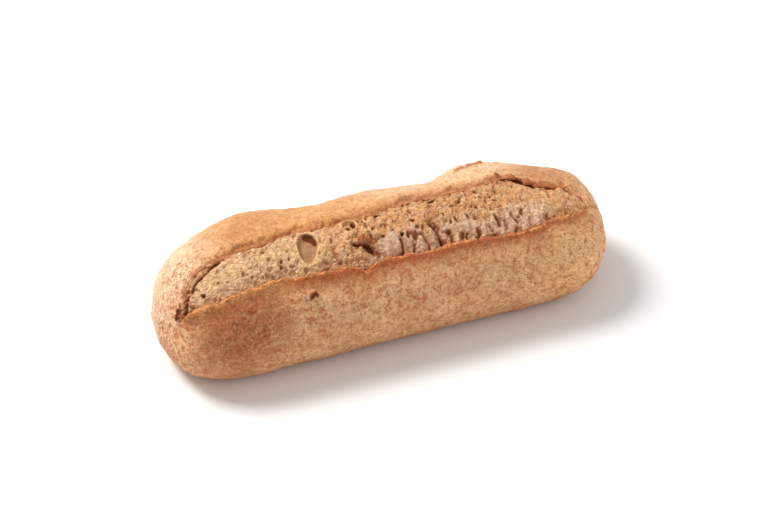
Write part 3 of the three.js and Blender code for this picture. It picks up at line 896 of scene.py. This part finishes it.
# One socket of a node tree. Sums written on it become Math nodes.
class Wire:
    def __init__(self, tree, socket=None):
        self.tree = tree
        self.socket = socket

    # settings are set first; at0, at1 and so on name a socket by its number
    def make(self, kind, output=0, settings=None, **inputs):
        node = self.tree.nodes.new(kind)
        for name, value in (settings or {}).items():
            setattr(node, name, value)
        for name, value in inputs.items():
            spot = node.inputs[int(name[2:]) if name.startswith("at") else name.replace("_", " ")]
            if isinstance(value, Wire):
                self.tree.links.new(value.socket, spot)
            else:
                spot.default_value = value
        return Wire(self.tree, node.outputs[output])

    def sum(self, operation, first, second):
        return self.make("ShaderNodeMath", 0, {"operation": operation}, at0=first, at1=second)

    def __add__(self, other):
        return self.sum("ADD", self, other)

    def __radd__(self, other):
        return self.sum("ADD", other, self)

    def __sub__(self, other):
        return self.sum("SUBTRACT", self, other)

    def __rsub__(self, other):
        return self.sum("SUBTRACT", other, self)

    def __mul__(self, other):
        return self.sum("MULTIPLY", self, other)

    def __rmul__(self, other):
        return self.sum("MULTIPLY", other, self)

    # 0 below low and 1 above high, eased between
    def between(self, low, high):
        settings = {"interpolation_type": "SMOOTHSTEP"}
        return self.make("ShaderNodeMapRange", 0, settings, Value=self, From_Min=low, From_Max=high)

    def blend(self, first, second, share):
        first, second = ((*v, 1) if isinstance(v, tuple) else v for v in (first, second))
        return self.make("ShaderNodeMix", 2, {"data_type": "RGBA"}, at0=share, at6=first, at7=second)


# Patterns that both finishes are mixed from, in millimetres of the loaf
def mark(wire, name):
    return wire.make("ShaderNodeAttribute", "Fac", {"attribute_name": name})


def shifted(wire, offset=(0, 0, 0), stretch=(1, 1, 1)):
    place = wire.make("ShaderNodeTexCoord", "Object")
    offset = tuple(v * millimetre for v in offset)
    return wire.make("ShaderNodeMapping", Vector=place, Location=offset, Scale=stretch)


def clouds(wire, size, detail=2, rough=0.5, twist=0, offset=(0, 0, 0), stretch=(1, 1, 1)):
    return wire.make("ShaderNodeTexNoise", Vector=shifted(wire, offset, stretch), Detail=detail,
                     Scale=1 / (size * millimetre), Roughness=rough, Distortion=twist)


# scattered specks: one cell for each size, a share of them filled
def flecks(wire, size, radius, share, offset):
    cells = {"Vector": shifted(wire, offset), "Scale": 1 / (size * millimetre)}
    near = wire.make("ShaderNodeTexVoronoi", "Distance", **cells)
    colour = wire.make("ShaderNodeTexVoronoi", "Color", **cells)
    chosen = 1 - wire.make("ShaderNodeSeparateColor", Color=colour).between(share, share + 0.05)
    ragged = near + clouds(wire, size * 0.45, 2, 0.6) * 0.5
    return (1 - ragged.between(radius + 0.17, radius + 0.33)) * chosen


# A named pattern of a finish: clouds that come in between two levels
def pattern(wire, look, name):
    shape, levels = look["patterns"][name]
    return clouds(wire, *shape).between(*levels)


# Where a place lies on the loaf along one axis
def coordinate(wire, axis):
    return wire.make("ShaderNodeSeparateXYZ", axis, Vector=shifted(wire)) * (1 / millimetre)


def nearness(wire, centre):
    place = wire.make("ShaderNodeTexCoord", "Object")
    centre = tuple(v * millimetre for v in centre)
    settings = {"operation": "DISTANCE"}
    return wire.make("ShaderNodeVectorMath", "Value", settings, at0=place, at1=centre) * (1 / millimetre)


def newFinish(name):
    material = bpy.data.materials.new(name)
    material.use_nodes = True
    return material, material.node_tree.nodes["Principled BSDF"], Wire(material.node_tree)


def connect(material, shader, tint, roughness, height):
    links = material.node_tree.links
    bump = tint.make("ShaderNodeBump", Height=height, Distance=millimetre)
    links.new(tint.socket, shader.inputs["Base Color"])
    links.new(roughness.socket, shader.inputs["Roughness"])
    links.new(bump.socket, shader.inputs["Normal"])
    print(material.name + ":", len(material.node_tree.nodes), "nodes")
    return material


bakedCrust = {
    "pale": (0.90, 0.55, 0.285),
    "tan": (0.68, 0.335, 0.14),
    "brown": (0.52, 0.215, 0.08),
    "gold": (0.74, 0.365, 0.115),
    "grain": (0.42, 0.15, 0.052),
    "red": (0.52, 0.16, 0.065),
    "bran": (0.26, 0.085, 0.03),
    "flour": (0.98, 0.72, 0.48),
    "dark": (0.31, 0.072, 0.012),
    "glow": (0.52, 0.15, 0.04),
    "sunny": (1.0, 0.56, 0.24),
    "peach": (0.90, 0.50, 0.30),
    "floury": (0.66, 0.55, 0.46),
    "speck": (0.25, 0.06, 0.018),
    "belly": (0.56, 0.25, 0.12),
    # colour, where it lies on the loaf, how far it reaches, how strong it is
    "zones": [
        ("gold", (-34, 26, 44), 44, 0.85),
        ("gold", (40, 26, 44), 30, 0.3),
        ("brown", (-54, 4, 50), 22, 0.6),
        # the next two sunny zones are painted light, brighter and warmer, on the right end and low on its
        # front
        ("sunny", (100, -20, 26), 34, 0.9),
        ("sunny", (76, -34, 24), 20, 0.5),
        ("sunny", (46, 18, 50), 16, 0.5),
        ("brown", (74, 8, 48), 17, 0.8),
        # the flour zone on the top of the left end is partly flour dusting, partly a painted highlight
        ("flour", (-96, 6, 36), 27, 1),
        ("flour", (52, 22, 48), 24, 0.7),
        ("flour", (18, 26, 46), 24, 0.6),
        # the dark zones low on the left front are partly deeper browning, partly painted shade
        ("dark", (-72, -31, 35), 23, 1),
        ("dark", (-80, -33, 22), 17, 0.36),
        ("flour", (82, -34, 32), 13, 0.18),
        ("red", (-92, -22, 36), 4.5, 0.7),
        ("red", (-96, -10, 37), 3, 0.5),
        ("floury", (-43.6, -29.6, 39.6), 1.9, 1.2),
    ],
    # size, detail, roughness, twist and offset of the clouds, then the levels they come in between
    "patterns": {
        "patches": ((3.4, 4, 0.62, 0.4), (0.4, 0.62)),
        "grains": ((1.3, 3, 0.7), (0.46, 0.62)),
        "browner": ((17,), (0.42, 0.62)),
        "peachy": ((6, 3, 0.5, 0.3, (31, 5, 2)), (0.5, 0.62)),
        "sunlit": ((3.6, 4, 0.6, 0.4, (2, 17, 5)), (0.54, 0.64)),
        "grit": ((1.8, 4, 0.75, 0.2, (8, 8, 3)), (0.42, 0.58)),
        "mottle": ((1.7, 3, 0.65, 0.3, (1, 4, 6)), (0.42, 0.6)),
        "broken": ((2.6, 2, 0.5, 0, (3, 3, 7)), (0.4, 0.56)),
        "blotches": ((3, 4, 0.68, 0.3, (13, 7, 5)), (0.53, 0.61)),
        "specks": ((0.9, 3, 0.7, 0, (9, 4, 7)), (0.54, 0.62)),
    },
    "specular": 0.25,
    "amberEdge": (0.94, 0.42, 0.11),
    "crestHighlight": (0.92, 0.41, 0.14),
    "emberEdge": (0.66, 0.145, 0.04),
    "redEdge": (0.42, 0.08, 0.02),
    "wall": (0.36, 0.125, 0.045),
    "rust": (0.46, 0.15, 0.05),
    "hollow": (0.13, 0.028, 0.007),
}

bakedCrumb = {
    "pale": (0.86, 0.54, 0.29),
    "tan": (0.77, 0.40, 0.175),
    "right": (0.80, 0.41, 0.165),
    "grey": (0.92, 0.66, 0.48),
    "yellow": (0.90, 0.56, 0.25),
    "red": (0.34, 0.075, 0.02),
    "rust": (0.50, 0.17, 0.055),
    "mauve": (0.54, 0.285, 0.155),
    "pore": (0.42, 0.165, 0.065),
    "inner": (0.34, 0.175, 0.092),
    "hollow": (0.13, 0.034, 0.01),
    "shade": (0.42, 0.165, 0.062),
    # size, detail, roughness, twist, offset and stretch of the clouds, then their two levels
    "patterns": {
        "greyer": ((3.8, 3, 0.6), (0.44, 0.6)),
        "golden": ((3.2, 3, 0.6, 0.3, (3, 8, 1)), (0.52, 0.66)),
        "fibres": ((1.1, 3, 0.65, 0, (1, 7, 3), (1, 0.3, 0.3)), (0.4, 0.6)),
        "mottle": ((2.1, 5, 0.75, 0.2, (5, 5, 5)), (0.44, 0.6)),
        "speckle": ((0.9, 3, 0.7, 0, (2, 6, 1)), (0.5, 0.62)),
        "rusty": ((2.6, 3, 0.65, 0.3, (9, 2, 4)), (0.54, 0.64)),
    },
    "specular": 0.12,
}


def makeBakedCrust():
    look = bakedCrust
    material, shader, wire = newFinish("bakedCrust")
    names = ("relief", "fromFront", "fromRear", "wall", "lifted", "crack")
    relief, fromFront, fromRear, wall, lifted, crack = (mark(wire, name) for name in names)
    along, up = coordinate(wire, "X"), coordinate(wire, "Z")
    behind = coordinate(wire, "Y").between(-4, 10)

    # tan skin with broad soft patches, calmer at the back than in front
    grains = pattern(wire, look, "grains") * (1 - behind * 0.4)
    tint = wire.blend(look["pale"], look["tan"], pattern(wire, look, "patches") * 0.6 + 0.18)
    tint = wire.blend(tint, look["brown"], pattern(wire, look, "browner") * 0.35)
    tint = wire.blend(tint, look["peach"], pattern(wire, look, "peachy") * 0.45)
    tint = wire.blend(tint, look["sunny"], pattern(wire, look, "sunlit") * 0.45)
    grit = pattern(wire, look, "grit")
    for name, centre, reach, strength in look["zones"]:
        spread = nearness(wire, centre) + clouds(wire, 9, 4, 0.65) * 0.5 * reach
        share = 1 - spread.between(reach * 0.6, reach * 1.5)
        tint = wire.blend(tint, look[name], share * (0.42 + grit * 0.58) * strength)
    tint = wire.blend(tint, look["belly"], (1 - up.between(1, 13)) * along.between(-80, -30) * 0.6)

    # browning along both torn edges, mottled and broken
    warp = clouds(wire, 2.4, 3, 0.6, 0, (4, 1, 9)) - 0.5
    fine = clouds(wire, 1.1, 3, 0.65, 0, (6, 2, 3)) - 0.5
    right = along.between(50, 90)
    left = 1 - along.between(-64, -40)
    belowLip = 1 - (fromFront + warp * 9 + fine * 3).between(3, 11)
    tint = wire.blend(tint, look["glow"], belowLip * (0.66 - along.between(-50, 60) * 0.3 - left * 0.24))
    edge = wire.blend(look["emberEdge"], look["redEdge"], pattern(wire, look, "mottle"))
    edge = wire.blend(edge, look["amberEdge"], left * 0.9)
    lip = 1 - (fromFront + warp * 5 + fine * 3 + left * 1.2).between(1.4, 4.6)
    tint = wire.blend(tint, edge, lip * (0.94 - right * 0.34 - left * 0.14))
    # a pale painted highlight along the crest of the front lip at the left end
    crest = 1 - (fromFront + fine * 3).between(-0.2, 1)
    crest = crest * (0.12 + pattern(wire, look, "broken") * 0.6)
    tint = wire.blend(tint, look["crestHighlight"], crest * along.between(-96, -62))
    rearBand = (1 - (fromRear + warp * 7 + fine * 3).between(3, 9)) * along.between(-86, -74)
    tint = wire.blend(tint, look["gold"], rearBand * (0.6 - along.between(-20, 20) * 0.4))
    rearLip = 1 - (fromRear + warp * 5 + fine * 3).between(0.3, 4)
    reddest = along.between(-84, -70) * 0.25 + along.between(-10, 30) * 0.12 + along.between(50, 62) * 0.3
    tint = wire.blend(tint, look["redEdge"], rearLip * (0.18 + reddest))

    # fine darker grain, reddish blotches, bran and flour lie over all of it
    tint = wire.blend(tint, look["grain"], grains * (0.42 + left * 0.2))
    tint = wire.blend(tint, look["red"], pattern(wire, look, "blotches") * (0.8 - behind * 0.5))
    tint = wire.blend(tint, look["speck"], pattern(wire, look, "specks") * (0.55 - behind * 0.3))
    tint = wire.blend(tint, look["flour"], flecks(wire, 2.7, 0.2, 0.3, (5, 9, 2)) * 0.12)
    tint = wire.blend(tint, look["bran"], flecks(wire, 2.9, 0.17, 0.5, (0, 0, 0)) * 0.55)
    tint = wire.blend(tint, look["bran"], flecks(wire, 1.7, 0.14, 0.25, (7, 3, 1)) * 0.5)
    # painted shade in the crust's dips, darker where a place lies below what is round it
    tint = wire.blend(tint, look["grain"], (0 - relief).between(0.02, 0.3) * 0.5)

    # the tear's walls darker brown, partly painted shade; the cracks rust-brown at their shallow edges, and
    # painted shade, near black, deep in the cracks and under the lifted lips
    tint = wire.blend(tint, look["wall"], wall.between(0.1, 0.5) * 0.85)
    tint = wire.blend(tint, look["hollow"], wall.between(0.2, 0.7) * lifted * 0.6)
    tint = wire.blend(tint, look["rust"], crack.between(0.12, 0.4) * 0.8)
    tint = wire.blend(tint, look["hollow"], crack.between(0.4, 0.85))

    roughness = 0.5 + grains * 0.14 + wall * 0.3 + crack * 0.2
    shader.inputs["Specular IOR Level"].default_value = look["specular"]
    skin = clouds(wire, 1.2, 3, 0.65) * (0.5 - behind * 0.1)
    return connect(material, shader, tint, roughness, skin)


def makeBakedCrumb():
    look = bakedCrumb
    material, shader, wire = newFinish("bakedCrumb")
    relief, dark, red, pale = (mark(wire, n) for n in ("relief", "dark", "red", "pale"))
    along = coordinate(wire, "X")

    # pale and fine at the left, torn and browner past the middle, greyer where it is drawn out
    torn = along.between(-46, -14)
    tint = wire.blend(look["pale"], look["tan"], torn)
    tint = wire.blend(tint, look["right"], along.between(52, 74))
    tint = wire.blend(tint, look["grey"], pattern(wire, look, "greyer") * 0.36)
    tint = wire.blend(tint, look["yellow"], pattern(wire, look, "golden") * 0.5)
    strand, pocket = mark(wire, "strand"), mark(wire, "pocket")
    tint = wire.blend(tint, look["grey"], strand * (0.42 + pattern(wire, look, "fibres") * 0.5))
    # mauve and brown mottling
    mottle = pattern(wire, look, "mottle")
    tint = wire.blend(tint, look["mauve"], mottle * (0.62 - strand * 0.38))
    # painted shade inside the pockets, darker where they are deeper
    tint = wire.blend(tint, look["inner"], pocket * 0.8)
    tint = wire.blend(tint, look["shade"], pattern(wire, look, "speckle") * (0.4 - strand * 0.1))
    rusty = pattern(wire, look, "rusty") * (0.15 + torn * 0.5)
    tint = wire.blend(tint, look["rust"], rusty * (1 - strand * 0.5))
    # tiny pores, darkened with painted shade
    pores = flecks(wire, 1.5, 0.15, 0.6, (2, 2, 2))
    tint = wire.blend(tint, look["pore"], pores * 0.45)
    # painted highlight, partly toasting, on the tops of the knobs and on the rims and raised ridges
    tint = wire.blend(tint, look["yellow"], (relief.between(0.12, 0.8) + pale) * (0.5 - torn * 0.12))
    # painted shade in the crumb's dips, stronger in the torn part
    tint = wire.blend(tint, look["shade"], (0 - relief).between(0.05, 0.6) * (0.4 + torn * 0.42))
    # painted shade along the foot of the rear lip, stronger towards the left end, and behind the front lip
    # in the torn part
    warp = (clouds(wire, 2.2, 3, 0.6, 0, (4, 1, 9)) - 0.5) * 5
    underRear = 1 - (mark(wire, "fromRear") + warp).between(0.6, 3.2)
    underFront = 1 - (mark(wire, "fromFront") + warp).between(0.4, 2.4)
    tint = wire.blend(tint, look["shade"], underRear * (0.2 + along.between(-86, -78) * 0.55))
    tint = wire.blend(tint, look["shade"], underFront * torn * 0.35)
    tint = wire.blend(tint, look["red"], red * 0.8)
    # painted shade in the gaps, pits and pockets and under the lifted rear lip, near black where deepest
    tint = wire.blend(tint, look["shade"], dark.between(0.05, 0.5) * 0.8)
    tint = wire.blend(tint, look["hollow"], dark.between(0.35, 0.95) * 0.95)

    roughness = 0.75 + dark * 0.15
    shader.inputs["Specular IOR Level"].default_value = look["specular"]
    height = (clouds(wire, 0.7) * 0.35 + mottle * 0.15 - pores * 0.3) * (1 - pocket * 0.5)
    return connect(material, shader, tint, roughness, height)


studio = {
    "azimuth": -20.7,
    "elevation": 40,
    "distance": 1.0,
    "lens": 106.8,
    "sensor": 36,
    "clipStart": 0.01,
    "aim": (0.0023, 0, 0.02425),
    "lamps": {
        # place, size, power, colour
        "key": ((-0.55, 0.5, 1.05), 0.5, 15, (1, 0.985, 0.96)),
        "fill": ((0.95, -0.6, 0.6), 1.0, 3.2, (1, 1, 1)),
    },
    "sky": (1, 1, 1),
    "skyPower": 0.5,
    "floor": (0.93, 0.93, 0.93),
    "floorRoughness": 0.9,
    "floorSize": 6,
}


def makeCamera():
    data = bpy.data.cameras.new("camera")
    data.lens = studio["lens"]
    data.sensor_width = studio["sensor"]
    data.clip_start = studio["clipStart"]
    camera = bpy.data.objects.new("camera", data)
    bpy.context.scene.collection.objects.link(camera)
    azimuth, elevation = math.radians(studio["azimuth"]), math.radians(studio["elevation"])
    level = math.cos(elevation)
    back = np.array([math.sin(azimuth) * level, -math.cos(azimuth) * level, math.sin(elevation)])
    camera.location = np.array(studio["aim"]) + back * studio["distance"]
    camera.rotation_euler = (math.pi / 2 - elevation, 0, azimuth)
    bpy.context.scene.camera = camera


def makeFloor():
    deselectAll()
    bpy.ops.mesh.primitive_plane_add(size=studio["floorSize"])
    floor = bpy.context.object
    floor.name = "floor"
    material, shader, _ = newFinish("paleFloor")
    shader.inputs["Base Color"].default_value = (*studio["floor"], 1)
    shader.inputs["Roughness"].default_value = studio["floorRoughness"]
    floor.data.materials.append(material)


def makeLight():
    world = bpy.data.worlds.new("studio")
    world.use_nodes = True
    sky = world.node_tree.nodes["Background"]
    sky.inputs["Color"].default_value = (*studio["sky"], 1)
    sky.inputs["Strength"].default_value = studio["skyPower"]
    bpy.context.scene.world = world
    for name, (place, size, power, colour) in studio["lamps"].items():
        data = bpy.data.lights.new(name, "AREA")
        data.size, data.energy, data.color = size, power, colour
        lamp = bpy.data.objects.new(name, data)
        bpy.context.scene.collection.objects.link(lamp)
        lamp.location = place
        x, y, z = place
        lamp.rotation_euler = (math.atan2(math.hypot(x, y), z), 0, math.atan2(y, x) + math.pi / 2)


bpy.context.scene.view_settings.view_transform = "Standard"
makeCamera()
makeFloor()
makeLight()
print("studio ready")

crust, shift = makeCrust()
crust.data.materials.append(makeBakedCrust())
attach(crust, "root")
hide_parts("loaf")

crumb = makeCrumb(shift)
crumb.data.materials.append(makeBakedCrumb())
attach(crumb, "root")
print("loaf placed")
